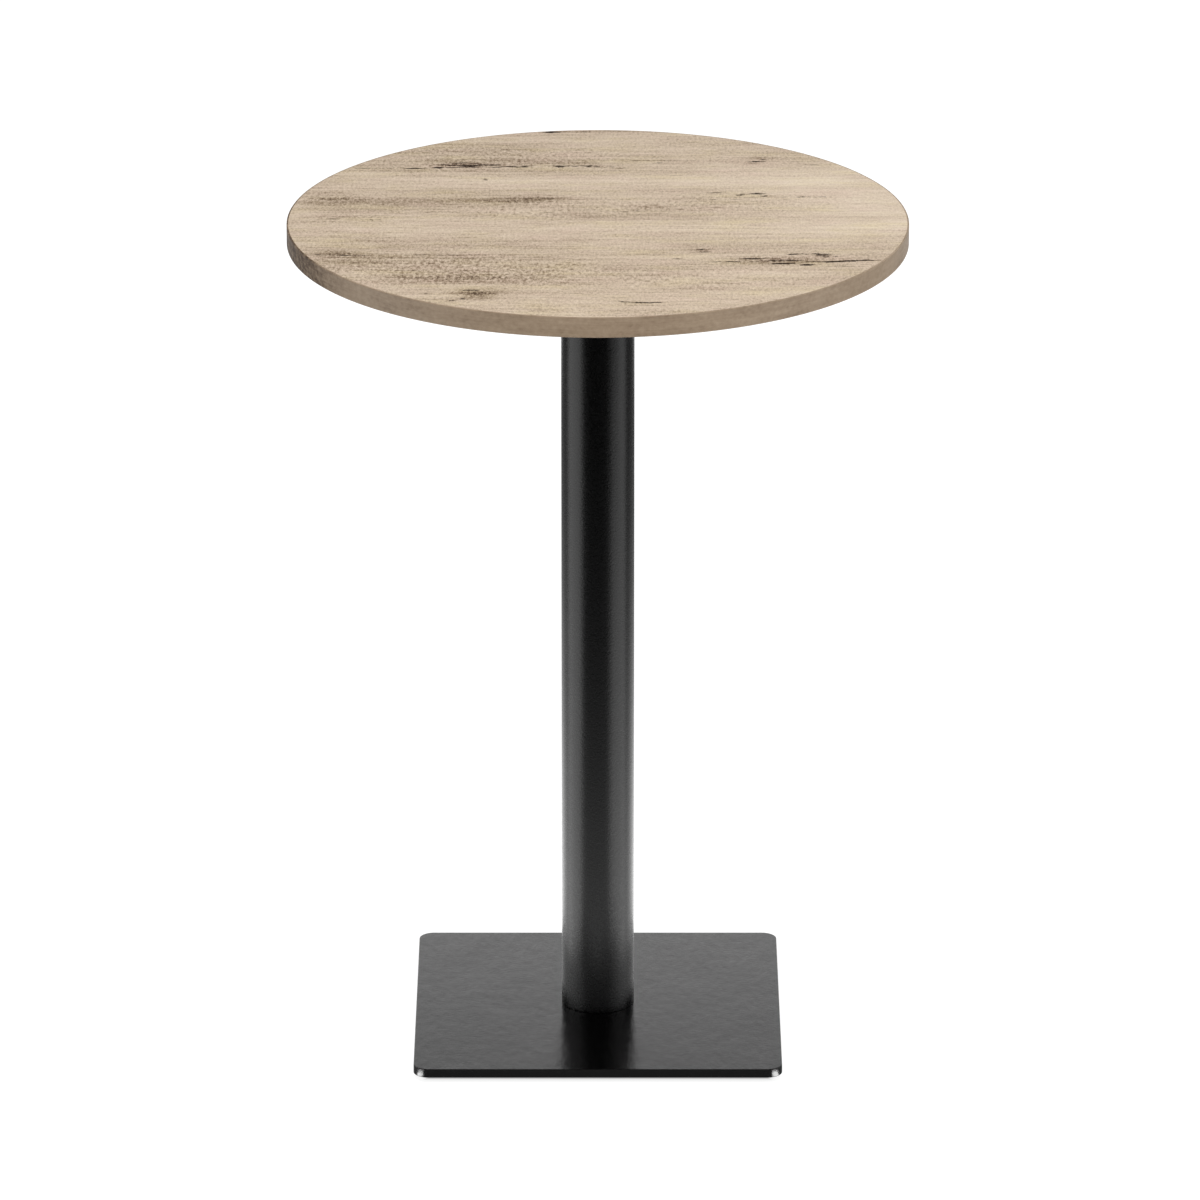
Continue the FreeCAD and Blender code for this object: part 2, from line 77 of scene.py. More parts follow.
# What the base's edges reflect from the floor beside them, by the ray's length: a dark margin,
# lighter right under the edge
MARGIN_START = 0.24
MARGIN_RAY = (0.075, 0.09, 1.0, 0.0)
MARGIN_GLOW = (0.011, 0.014, 1.2, 0.22)
# Bright spot in it near each corner: x, y, half length and half width in millimetres, radiance
GLINTS = ((259, 250, 17, 27, 16.0),)
GLINT_CORE = 0.45
GLINT_RAY = (0.04, 0.05, 1.0, 0.0)

# Glowing sheet behind the table: half width, distance behind the column, and radiance by height
BACKDROP_HALF_WIDTH = 3.0
BACKDROP_BEHIND = 2.6
BACKDROP_LEVELS = (
    (0.0, 0.9),
    (0.25, 0.9),
    (0.6, 1.4),
    (0.88, 1.35),
    (1.1, 0.84),
    (1.25, 0.6),
    (1.6, 0.4),
    (2.4, 0.25),
)

# Low ring of light round the base. The column's foot sees it mirrored in the plate, where the way
# from plate to ring is short, and nothing else does.
RING_RADIUS = 0.45
RING_LOW = 0.03
RING_HIGH = 0.26
RING_RAY = (0.395, 0.41, 1.0, 0.0)
RING_MIRRORED = 1.5
# The ring's radiance from its front (0) to its back (1)
RING_LEVELS = ((0.0, 1.1), (0.07, 1.4), (0.15, 2.0), (0.25, 3.0), (0.37, 4.0), (0.67, 4.0), (1.0, 2.5))

# World: soft light for dull surfaces by how far up it comes from, and what glossy ones see by how
# far back they look, which starts at the horizon
WORLD_SOFT = (-0.3, 0.3, 0.35, 0.5)
WORLD_GLOSS = (-0.2, 0.8, 0.01, 0.15)
WORLD_HORIZON = (-0.05, 0.12)

# Soft box overhead
OVERHEAD_PLACE = (0.1, -2.3, 4.8)
OVERHEAD_AIM = (0.0, 0.0, 1.1)
OVERHEAD_SIZE = (3.6, 3.6)
OVERHEAD_RADIANCE = 3.3

# Side soft boxes: degrees round from the camera's side, half width in degrees, bottom, top,
# radiance, and whether they light dull surfaces
SIDE_DISTANCE = 2.4
SIDE_BOXES = (
    ("left_low_box", -79, 27, -1.45, -0.3, 1.8, False),
    ("left_box", -79, 27, -0.3, 0.75, 1.35, False),
    ("left_high_box", -80, 34, 0.8, 1.7, 1.2, False),
    ("front_right_low_box", 52, 14, -1.45, -0.4, 1.65, True),
    ("front_right_box", 55, 11, -0.4, 0.1, 1.15, True),
    ("right_low_box", 81, 15, -1.45, -0.35, 1.6, True),
    ("right_box", 81, 15, -0.35, 0.75, 1.05, True),
    ("right_high_box", 72, 30, 0.8, 1.7, 1.1, False),
)

# Sizes of the pieces that the frame's boxes don't give
RIM_SEGMENTS = 384
HOLE_SEGMENTS = 48
ROUND_STEPS = 6
CORNER_STEPS = 24
BAND_THICKNESS = 2 * MM
BAND_ROUND = 1 * MM
COLUMN_WALL = 2 * MM
COLUMN_END_ROUND = 0.8 * MM
PLATE_EDGE_ROUND = 1 * MM
BASE_CORNER_RADIUS = 20 * MM
SCREW_CLEARANCE = 0.25 * MM
THREAD_CLEARANCE = 0.05 * MM
SEAT_CLEARANCE = 0.1 * MM
HEAD_SINK = 0.2 * MM
WOOD_SCREWS = 8
WOOD_SCREW_RADIUS = 2.5 * MM
WOOD_SCREW_HEAD_RADIUS = 4.75 * MM
PLATE_BOLTS = 4
TOP_BOLT_RADIUS = 4 * MM
TOP_BOLT_HEAD = (8 * MM, 4.4 * MM)
BASE_BOLT_RADIUS = 5 * MM
BASE_BOLT_HEAD = (10 * MM, 5.5 * MM)
FOOT_THREAD_RADIUS = 4 * MM
FOOT_BORE_DEPTH = 9.5 * MM
CUT_OVERRUN = 1 * MM
SMOOTH_ANGLE = math.radians(40)

# Marks in the wood print, in millimetres on the top: x, y, half length, half width, strength
CRACKS = (
    (-173, 249, 17, 1.6, 0.75),
    (-173, 240, 28, 1.8, 1.0),
    (-180, 231, 34, 1.6, 0.95),
    (-209, 229, 5, 2.4, 0.95),
    (-160, 235, 14, 2.2, 0.8),
    (-200, 243, 12, 1.6, 0.6),
    (-135, 242, 14, 2.0, 0.75),
    (-115, 233, 22, 2.6, 0.85),
    (-92, 238, 14, 1.8, 0.6),
    (-296, 226, 20, 1.4, 0.6),
    (-240, 226, 14, 1.8, 0.8),
    (-265, 227, 40, 1.0, 0.4),
    (-50, 236, 9, 3.0, 0.85),
    (-18, 239, 20, 2.4, 0.75),
    (10, 235, 14, 2.0, 0.65),
    (30, 229, 10, 1.8, 0.6),
    (-147, 181, 4, 2.8, 0.72),
    (-65, 390, 16, 3.0, 0.7),
    (-20, 392, 30, 2.0, 0.4),
    (70, 262, 26, 1.6, 0.45),
    (88, 250, 14, 1.6, 0.45),
    (208, 258, 11, 2.4, 0.95),
    (198, 248, 9, 2.4, 0.55),
    (216, 266, 6, 2.0, 0.7),
    (276, 242, 24, 1.6, 0.4),
    (154, 118, 13, 2.0, 0.7),
    (184, 108, 8, 2.2, 0.9),
    (206, 112, 14, 2.2, 0.85),
    (216, 102, 7, 1.8, 0.8),
    (140, 90, 34, 1.4, 0.5),
    (270, 98, 34, 1.4, 0.45),
    (40, 40, 30, 1.6, 0.45),
    (-66, 36, 8, 2.0, 0.5),
    (-286, 4, 13, 1.8, 0.5),
    (-338, 8, 12, 1.4, 0.4),
    (-8, 17, 18, 1.8, 0.45),
    (-330, -144, 36, 1.6, 0.6),
    (-200, -141, 54, 1.2, 0.55),
    (-115, -138, 30, 1.2, 0.45),
    (-275, -114, 8, 3.0, 0.4),
    (103, -157, 8, 1.6, 0.55),
    (131, -120, 12, 2.4, 0.65),
    (134, -129, 9, 2.0, 0.6),
    (168, -170, 30, 1.3, 0.65),
    (199, -158, 16, 2.2, 0.95),
    (232, -166, 24, 2.0, 0.85),
    (235, -178, 18, 2.2, 1.0),
    (266, -184, 10, 2.0, 1.0),
    (288, -172, 22, 2.0, 0.85),
    (321, -170, 20, 2.2, 0.95),
    (350, -167, 16, 1.8, 0.65),
    (286, -145, 11, 3.4, 1.0),
    (256, -141, 18, 1.8, 0.8),
    (296, -152, 18, 1.6, 0.6),
    (312, -190, 18, 1.4, 0.6),
    (58, -338, 24, 2.2, 0.85),
    (40, -334, 14, 1.4, 0.45),
    (-164, -290, 14, 2.2, 0.65),
    (-150, -308, 14, 3.0, 0.3),
    (-214, -306, 5, 3.0, 0.5),
    (-184, -333, 7, 3.0, 0.5),
    (-170, -326, 6, 2.6, 0.45),
)

# Soft patches of darker (below nought) or lighter wood, laid out the same way, and one large painted
# light on the right of the top
TONE_PATCHES_AND_PAINTED_LIGHT = (
    (-140, 292, 260, 60, -0.55),
    (-180, 246, 60, 16, -0.5),
    (-250, 182, 260, 44, 0.45),
    (120, 178, 240, 36, 0.3),
    (-215, 84, 230, 32, -0.75),
    (-90, 88, 75, 24, -0.7),
    (-300, 40, 110, 20, -0.35),
    (-40, 38, 60, 26, -0.35),
    (-190, -20, 240, 60, 0.3),
    (60, -50, 240, 70, 0.12),
    (-190, -150, 190, 16, -0.55),
    (-180, -205, 220, 70, -0.4),
    (-255, -231, 26, 8, -0.8),
    (-150, -300, 60, 30, -0.55),
    (-150, -302, 44, 14, -0.5),
    (-184, -333, 12, 7, -0.5),
    (20, -210, 140, 40, -0.1),
    (60, -330, 240, 44, 0.18),
    (215, 275, 34, 16, -0.6),
    (180, 80, 130, 36, -0.45),
    (90, 56, 130, 22, -0.45),
    (260, 60, 90, 30, -0.3),
    (20, 20, 110, 12, -0.3),
    (240, -168, 60, 16, -0.35),
    (262, -40, 140, 90, 0.35),
    (130, -122, 28, 14, -0.4),
    (0, 340, 120, 40, 0.15),
    (-30, 250, 50, 14, -0.55),
    (-180, 240, 60, 12, -0.35),
    (-330, 96, 60, 14, -0.6),
    (-70, 100, 60, 14, -0.7),
    (250, 100, 120, 12, -0.5),
    (-330, -140, 44, 22, -0.5),
    (-148, -305, 34, 18, -0.55),
    (240, 200, 130, 20, 0.4),
    # Painted light: the right of the top is lighter, where more light falls
    (370, 100, 300, 250, 1.15),
    (400, -40, 110, 110, 0.3),
    (0, 168, 420, 40, 0.75),
    (280, 168, 110, 34, 0.8),
    (60, 322, 260, 56, 0.5),
    (-150, 252, 170, 24, -0.55),
    (-350, 90, 60, 60, -0.6),
    (-320, 14, 90, 24, -0.5),
    (-310, -160, 80, 44, -0.7),
    (230, -164, 130, 26, -1.15),
    (230, -215, 120, 24, 0.6),
    (-130, -250, 300, 34, -0.8),
    (-190, -236, 130, 22, -0.4),
    (-150, -322, 34, 18, -0.6),
    (10, -98, 120, 26, 0.55),
    (-60, 40, 130, 24, 0.4),
)

# Where the print has short ripples across the grain
RIPPLES = (
    (-180, -205, 260, 90, 1.0),
    (-140, 280, 260, 70, 0.55),
    (-60, 50, 170, 60, 0.6),
    (160, 70, 180, 60, 0.7),
    (140, -230, 220, 70, 0.5),
    (-300, -60, 120, 60, 0.2),
)


# Node trees


class Shader:
    """A node tree with short ways to add to it. Each way returns the new node's output."""

    def __init__(self, tree):
        self.tree = tree

    def feed(self, socket, value):
        """Links a socket to another node's output, or gives it a value of its own."""
        if isinstance(value, bpy.types.NodeSocket):
            self.tree.links.new(value, socket)
        else:
            socket.default_value = value

    def node(self, kind, named=(), **settings):
        """The node itself, with its settings made and its named inputs fed."""
        node = self.tree.nodes.new(kind)
        for name, value in settings.items():
            setattr(node, name, value)
        for name, value in dict(named).items():
            self.feed(node.inputs[name], value)
        return node

    def math(self, operation, *values, clamp=False):
        node = self.node("ShaderNodeMath", operation=operation, use_clamp=clamp)
        for socket, value in zip(node.inputs, values):
            self.feed(socket, value)
        return node.outputs[0]

    def vector(self, operation, *values, output="Vector"):
        node = self.node("ShaderNodeVectorMath", operation=operation)
        for socket, value in zip(node.inputs, values):
            self.feed(socket, value)
        return node.outputs[output]

    def place(self):
        """The point on the piece, in metres in the frame."""
        return self.node("ShaderNodeTexCoord").outputs["Object"]

    def sky(self):
        """The direction that the surroundings are seen in."""
        return self.node("ShaderNodeTexCoord").outputs["Generated"]

    def along(self, place, axis):
        """One coordinate of a place."""
        return self.node("ShaderNodeSeparateXYZ", {"Vector": place}).outputs[axis]

    def only(self, axis, value):
        """A place with one coordinate given and the others nought."""
        return self.node("ShaderNodeCombineXYZ", {axis: value}).outputs[0]

    def noise(self, place, waves, detail=2.0, roughness=0.5):
        """Noise around 0.5, with so many waves to the metre along each axis."""
        stretched = self.vector("MULTIPLY", place, waves)
        named = {"Vector": stretched, "Scale": 1.0, "Detail": detail, "Roughness": roughness}
        return self.node("ShaderNodeTexNoise", named).outputs[0]

    def swing(self, value, size):
        """Noise turned into a swing about nought."""
        return self.math("MULTIPLY", self.math("SUBTRACT", value, NOISE_MIDDLE), size)

    def layer(self, place, waves, detail, roughness, size):
        """Noise that swings about nought."""
        return self.swing(self.noise(place, waves, detail, roughness), size)

    def ranged(self, value, low, high, to_low=0.0, to_high=1.0):
        """Takes a value from one range to another, eased at both ends."""
        named = {
            "Value": value,
            "From Min": low,
            "From Max": high,
            "To Min": to_low,
            "To Max": to_high,
        }
        node = self.node("ShaderNodeMapRange", named, interpolation_type="SMOOTHSTEP", clamp=False)
        return node.outputs["Result"]

    def between(self, share, first, second):
        """A value that goes from the first to the second with the share."""
        difference = self.math("SUBTRACT", second, first)
        return self.math("MULTIPLY_ADD", share, difference, first)

    def total(self, *values):
        result = values[0]
        for value in values[1:]:
            result = self.math("ADD", result, value)
        return result

    def ramp(self, factor, stops):
        """Colours between stops of (place, colour)."""
        node = self.node("ShaderNodeValToRGB", {"Fac": factor})
        elements = node.color_ramp.elements
        elements[0].position = stops[0][0]
        elements[1].position = stops[-1][0]
        for position, colour in stops[1:-1]:
            elements.new(position)
        for element, (position, colour) in zip(elements, stops):
            element.color = (*colour, 1.0)
        return node.outputs["Color"]

    def mix(self, factor, first, second, blend_type="MIX"):
        named = {"Fac": factor, "Color1": first, "Color2": second}
        return self.node("ShaderNodeMixRGB", named, blend_type=blend_type).outputs["Color"]

    def bump(self, height, depth):
        """Surface relief, depth metres high where the height goes from 0 to 1."""
        named = {"Height": height, "Strength": 1.0, "Distance": depth}
        return self.node("ShaderNodeBump", named).outputs["Normal"]

    def marks(self, place, table, core=0.0):
        """Adds up the soft ellipses of a table. Each is full strength inside its core share."""
        result = 0.0
        for x, y, length, width, strength in table:
            scale = (1 / (length * MM), 1 / (width * MM), 0.0)
            offset = self.vector("MULTIPLY_ADD", place, scale, (-x / length, -y / width, 0.0))
            reach = self.vector("LENGTH", offset, output="Value")
            mark = self.ranged(reach, core, 1.0, strength, 0.0)
            result = self.math("ADD", result, mark)
        return result

    def glow(self, colour=WHITE, strength=1.0):
        """A surface that gives off light."""
        named = {"Color": colour, "Strength": strength}
        return self.node("ShaderNodeEmission", named).outputs[0]

    def clear(self):
        """A surface that lets everything through."""
        return self.node("ShaderNodeBsdfTransparent").outputs[0]

    def added(self, first, second):
        """Two surfaces in one."""
        both = self.node("ShaderNodeAddShader")
        self.feed(both.inputs[0], first)
        self.feed(both.inputs[1], second)
        return both.outputs[0]

    def either(self, share, first, second):
        """The first surface, or the second where the share is 1."""
        choice = self.node("ShaderNodeMixShader", {"Fac": share})
        self.feed(choice.inputs[1], first)
        self.feed(choice.inputs[2], second)
        return choice.outputs[0]


def rgb(red, green, blue):
    """A colour given as 0 to 255 on a screen, as linear light."""
    shares = (red / 255, green / 255, blue / 255)
    return tuple(c / 12.92 if c <= 0.04045 else ((c + 0.055) / 1.055) ** 2.4 for c in shares)


def new_material(name, **fixed):
    """A material with one surface shader, whose fixed inputs are set by name."""
    material = bpy.data.materials.new(name)
    material.use_nodes = True
    tree = material.node_tree
    surface = tree.nodes["Principled BSDF"]
    for socket, value in fixed.items():
        surface.inputs[socket.replace("_", " ")].default_value = value
    return material, Shader(tree), surface


# Finishes. A noise is its waves to the metre along X, Y and Z, its detail and roughness, and where
# it swings about nought also the size of its swing. Noises are nearly all within NOISE_SPAN.


NOISE_MIDDLE = 0.5
NOISE_SPAN = (0.3, 0.7)

# Wood print: tone 0 to 1 as colours, tints by place, and the colour deep in its cracks
WOOD_STOPS = (
    (0.0, rgb(90, 70, 52)),
    (0.22, rgb(152, 131, 109)),
    (0.48, rgb(207, 187, 165)),
    (0.74, rgb(231, 212, 190)),
    (1.0, rgb(246, 230, 210)),
)
WOOD_TINTS = ((0.25, (1.0, 0.96, 0.97)), (0.5, (1.0, 1.0, 0.98)), (0.75, (1.0, 1.005, 0.86)))
TINT_PLACES = ((8.0, 30.0, 0.0), 3.0, 0.65)
CRACK_COLOUR = rgb(40, 24, 12)
CRACK_SHARE = 0.92
PRINT_SPECULAR = 0.35
PRINT_ROUGHNESS = (0.0, 0.8, 0.75, 0.45)
PRINT_RELIEF = 0.02 * MM

# How the print's lines waver sideways, in metres, and what its tone is made of
WAVER_WIDE = ((2.5, 6.0, 6.0), 1.0, 0.5, 0.022)
WAVER_FINE = ((22.0, 30.0, 30.0), 2.0, 0.5, 0.0045)
TONE_MIDDLE = 0.5
STAVES = ((1.3, 13.0, 0.0), 1.0, 0.5, 0.34)
STREAKS = ((3.5, 90.0, 0.0), 4.0, 0.65, 0.55)
FIBRES = ((22.0, 260.0, 0.0), 3.0, 0.65, 0.5)
SPECKS = ((330.0, 150.0, 0.0), 4.0, 0.8, 1.1)
BLOTCHES = ((9.0, 14.0, 0.0), 3.0, 0.6, 0.2)
PORES = ((70.0, 1400.0, 0.0), 1.0)
PORE_RANGE = (0.62, 0.74)
PORE_TONE = 0.07

# Ripples across the grain, everywhere and stronger in their own areas
RIPPLE = ((200.0, 95.0, 0.0), 2.0, 0.6, 0.75)
RIPPLE_PLACES = ((7.0, 16.0, 0.0), 2.0)
RIPPLE_RANGE = (0.4, 0.7, 0.2, 0.6)
RIPPLE_CORE = 0.3

# Mottle inside dark patches and in the shade round cracks
MOTTLE = ((190.0, 90.0, 0.0), 4.0, 0.8)
MOTTLE_RANGE = (0.35, 0.65, -0.7, 0.7)
PATCH_CORE = 0.1
PATCH_TONE = 0.18
SHADE_TONE = 0.24

# Cracks: how much larger their shade is than themselves, and how noise tears them
SHADE_LENGTH = 1.9
SHADE_WIDTH = 2.5
CRACK_JITTER = ((60.0, 40.0, 0.0), 3.0, 0.7, 0.008)
CRACK_TEAR = ((55.0, 170.0, 0.0), 5.0, 0.75, 3.6)
CRACK_RANGE = (0.45, 0.7)
CRACK_GATE = (0.05, 0.2)

# Edge band: the print in a darker tint, stained, coarse and in painted shade at its left end, and in
# painted light to the right
BAND_TINT = (0.555, 0.51, 0.455)
BAND_MIDDLE = 0.465
BAND_WAVER = ((9.0, 9.0, 9.0), 1.0, 0.5, 0.004)
BAND_STREAKS = ((7.0, 7.0, 210.0), 3.0, 0.6, 0.3)
BAND_FIBRES = ((26.0, 26.0, 700.0), 3.0, 0.6, 0.2)
BAND_MOTTLE = ((150.0, 150.0, 230.0), 3.0, 0.6, 0.5)
BAND_BLOTCHES = ((11.0, 11.0, 30.0), 3.0, 0.6, 0.5)
BAND_FLECKS = ((110.0, 110.0, 150.0), 4.0, 0.7)
# Stain at the band's left end, which is also painted shade there
BAND_STAIN_AND_SHADE_AREAS = ((-400, -70, 160, 260, 1.0),)
BAND_STAIN_AND_SHADE_CORE = 0.3
BAND_STAIN_AND_SHADE_TONES = (0.08, -0.24)
BAND_FLECK_SWINGS = (0.15, 1.2)
# Painted light: the band is made lighter towards its right end
BAND_PAINTED_LIGHT_RIGHT = (0.26, 0.36, 0.0, 0.1)
BAND_ROUGHNESS = (0.2, 0.8, 0.58, 0.48)
BAND_RELIEF = 0.03 * MM

# Powder coats: roughness, the orange peel's waves and depth, and the depth of grain and of warp
PAINTS = {
    "column_paint": ((0.25, 0.31), (260.0, 260.0, 260.0), 0.06 * MM, 0.2 * MM, 0.2 * MM),
    "base_paint": ((0.14, 0.21), (110.0, 48.0, 110.0), 0.2 * MM, 0.14 * MM, 0.6 * MM),
}
PAINT_SPECULAR = 0.5
PAINT_STOPS = ((0.0, (0.0012, 0.0012, 0.0013)), (1.0, (0.014, 0.014, 0.014)))
PAINT_GRAIN = ((480.0, 480.0, 480.0), 2.0, 0.6)
PAINT_DUST = ((900.0, 900.0, 900.0), 1.0)
PAINT_DUST_RANGE = (0.66, 0.8)
PAINT_WARP = ((16.0, 8.0, 16.0), 2.0)

# Steels: colour and roughness
STEELS = {
    "zinc_steel": ((0.62, 0.63, 0.66), (0.22, 0.4)),
    "bare_steel": ((0.45, 0.45, 0.46), (0.3, 0.5)),
}
STEEL_RINGS = ((4000.0, 0.0, 0.0), 2.0)
STEEL_STAINS = ((90.0, 90.0, 90.0), 3.0)
STEEL_STAIN_SHARE = 0.72
STEEL_RELIEF = 0.01 * MM

# Dull speckled finishes: dark and light, speckles to the metre, roughness and relief
SPECKLED = {
    "backing": (rgb(186, 180, 170), rgb(206, 201, 192), 900.0, (0.5, 0.6), 0.02 * MM),
    "foot_plastic": (rgb(22, 22, 23), rgb(34, 34, 35), 1500.0, (0.42, 0.52), 0.02 * MM),
    "foot_rubber": (rgb(40, 40, 40), rgb(54, 53, 52), 1200.0, (0.8, 0.9), 0.03 * MM),
}
SPECKLED_SPECULAR = 0.4
# The speckles' detail and roughness, how many there are across a cloud, and the clouds' swing
SPECKLES = (3.0, 0.65)
SPECKLES_TO_CLOUD = 30
CLOUD_SWING = 0.4

# Chipboard: chips to the metre, tone as colours, and relief
CHIPS = (300.0, 500.0, 700.0)
CHIP_STOPS = ((0.0, rgb(120, 88, 58)), (0.5, rgb(176, 138, 94)), (1.0, rgb(214, 182, 136)))
CHIP_ROUGHNESS = 0.85
CHIP_RELIEF = 0.1 * MM


def wood_waver(shader, place):
    """Lets the grain lines wander a few millimetres sideways."""
    wide = shader.layer(place, *WAVER_WIDE)
    fine = shader.layer(place, *WAVER_FINE)
    return shader.vector("ADD", place, shader.only("Y", shader.total(wide, fine)))


def wood_tone(shader, place):
    """The print's tone from wide staves down to fine fibres and specks, about 0.5."""
    layers = [shader.layer(place, *row) for row in (STAVES, STREAKS, FIBRES, SPECKS, BLOTCHES)]
    return shader.total(TONE_MIDDLE, *layers)


def wood_cracks(shader, grain):
    """Dark ragged cracks, 0 to 1, and the soft shade that they lie in."""
    shades = []
    for x, y, length, width, strength in CRACKS:
        shades.append((x, y, SHADE_LENGTH * length, SHADE_WIDTH * width, strength))
    jitter = shader.layer(grain, *CRACK_JITTER)
    ragged = shader.vector("ADD", grain, shader.only("Y", jitter))
    shade = shader.marks(ragged, shades)
    torn = shader.layer(ragged, *CRACK_TEAR)
    cracks = shader.ranged(shader.math("ADD", shade, torn), *CRACK_RANGE)
    gate = shader.ranged(shade, *CRACK_GATE)
    return shader.math("MULTIPLY", cracks, gate), shade


def wood_ripples(shader, place, grain):
    """Short ripples across the grain, as a swing of the tone."""
    ripple = shader.layer(grain, *RIPPLE)
    everywhere = shader.ranged(shader.noise(place, *RIPPLE_PLACES), *RIPPLE_RANGE)
    share = shader.math("ADD", everywhere, shader.marks(grain, RIPPLES, RIPPLE_CORE))
    return shader.math("MULTIPLY", ripple, share)


def make_wood_decor():
    """Pale weathered oak print on the top laminate: streaks, ripples, cracks and small knots."""
    material, shader, surface = new_material("wood_decor", Specular_IOR_Level=PRINT_SPECULAR)
    place = shader.place()
    grain = wood_waver(shader, place)
    pores = shader.ranged(shader.noise(grain, *PORES), *PORE_RANGE)
    rippled = wood_ripples(shader, place, grain)
    mottle = shader.ranged(shader.noise(grain, *MOTTLE), *MOTTLE_RANGE)
    # The patches include painted light on the right of the top
    soft = shader.marks(grain, TONE_PATCHES_AND_PAINTED_LIGHT, PATCH_CORE)
    uneven = shader.math("MULTIPLY", shader.math("MINIMUM", soft, 0.0), mottle)
    patches_and_painted_light = shader.math("MULTIPLY", shader.math("ADD", soft, uneven), PATCH_TONE)
    print_tone = wood_tone(shader, grain)
    cracks, shade = wood_cracks(shader, grain)
    shade = shader.math("MULTIPLY_ADD", shade, mottle, shade)
    pore_tone = shader.math("MULTIPLY", pores, PORE_TONE)
    darker = shader.math("MULTIPLY_ADD", shade, SHADE_TONE, pore_tone)
    tone = shader.math("SUBTRACT", shader.total(print_tone, rippled, patches_and_painted_light), darker)

    tints = shader.ramp(shader.noise(grain, *TINT_PLACES), WOOD_TINTS)
    colour = shader.mix(1.0, shader.ramp(tone, WOOD_STOPS), tints, "MULTIPLY")
    colour = shader.mix(shader.math("MULTIPLY", cracks, CRACK_SHARE), colour, (*CRACK_COLOUR, 1.0))
    shader.feed(surface.inputs["Base Color"], colour)
    dullness = shader.ranged(shader.math("SUBTRACT", tone, cracks), *PRINT_ROUGHNESS)
    shader.feed(surface.inputs["Roughness"], dullness)
    relief = shader.math("SUBTRACT", wood_tone(shader, grain), pores)
    shader.feed(surface.inputs["Normal"], shader.bump(relief, PRINT_RELIEF))
    return material


def make_edge_band():
    """The same print on the edge band, a shade darker, its grain running round the rim, with painted
    shade at its left end and painted light at its right.
    """
    material, shader, surface = new_material("edge_band", Specular_IOR_Level=PRINT_SPECULAR)
    place = shader.place()
    waver = shader.layer(place, *BAND_WAVER)
    grain = shader.vector("ADD", place, shader.only("Z", waver))
    layers = [shader.layer(grain, *row) for row in (BAND_STREAKS, BAND_FIBRES, BAND_MOTTLE)]
    layers.append(shader.layer(place, *BAND_BLOTCHES))
    across = shader.along(place, "X")
    # Partly painted shade: the stain area also darkens the left end, where less light falls
    stain_and_shade_area = shader.marks(place, BAND_STAIN_AND_SHADE_AREAS, BAND_STAIN_AND_SHADE_CORE)
    stain_and_painted_shade = shader.between(stain_and_shade_area, *BAND_STAIN_AND_SHADE_TONES)
    # Painted light: the band is lighter to the right, where more light falls
    painted_light_right = shader.ranged(across, *BAND_PAINTED_LIGHT_RIGHT)
    rough = shader.between(stain_and_shade_area, *BAND_FLECK_SWINGS)
    flecks = shader.swing(shader.noise(place, *BAND_FLECKS), rough)
    tone = shader.total(BAND_MIDDLE, *layers, stain_and_painted_shade, painted_light_right, flecks)
    stops = []
    for position, colour in WOOD_STOPS:
        stops.append((position, tuple(t * c for t, c in zip(BAND_TINT, colour))))
    shader.feed(surface.inputs["Base Color"], shader.ramp(tone, stops))
    shader.feed(surface.inputs["Roughness"], shader.ranged(tone, *BAND_ROUGHNESS))
    shader.feed(surface.inputs["Normal"], shader.bump(tone, BAND_RELIEF))
    return material


def make_paint(name):
    """Black powder coat: orange peel under a fine grain, over steel that isn't dead flat."""
    roughness, peel_waves, peel_depth, grain_depth, warp_depth = PAINTS[name]
    material, shader, surface = new_material(name, Specular_IOR_Level=PAINT_SPECULAR)
    place = shader.place()
    peel = shader.noise(place, peel_waves)
    grain = shader.noise(place, *PAINT_GRAIN)
    dust = shader.ranged(shader.noise(place, *PAINT_DUST), *PAINT_DUST_RANGE)
    shader.feed(surface.inputs["Base Color"], shader.ramp(dust, PAINT_STOPS))
    shader.feed(surface.inputs["Roughness"], shader.ranged(peel, *NOISE_SPAN, *roughness))
    warp = shader.noise(place, *PAINT_WARP)
    height = shader.total(
        shader.math("MULTIPLY", peel, peel_depth / MM),
        shader.math("MULTIPLY", grain, grain_depth / MM),
        shader.math("MULTIPLY", warp, warp_depth / MM),
    )
    shader.feed(surface.inputs["Normal"], shader.bump(height, MM))
    return material


def make_steel(name):
    """Metal with fine turning rings about the column's axis and faint stains."""
    colour, (low, high) = STEELS[name]
    material, shader, surface = new_material(name, Metallic=1.0)
    place = shader.place()
    flat = shader.vector("MULTIPLY", place, (1.0, 1.0, 0.0))
    radius = shader.vector("LENGTH", flat, output="Value")
    rings = shader.noise(shader.only("X", radius), *STEEL_RINGS)
    stains = shader.noise(place, *STEEL_STAINS)
    stops = ((0.0, tuple(STEEL_STAIN_SHARE * c for c in colour)), (1.0, colour))
    shader.feed(surface.inputs["Base Color"], shader.ramp(shader.ranged(stains, *NOISE_SPAN), stops))
    shader.feed(surface.inputs["Roughness"], shader.ranged(stains, *NOISE_SPAN, high, low))
    shader.feed(surface.inputs["Normal"], shader.bump(rings, STEEL_RELIEF))
    return material


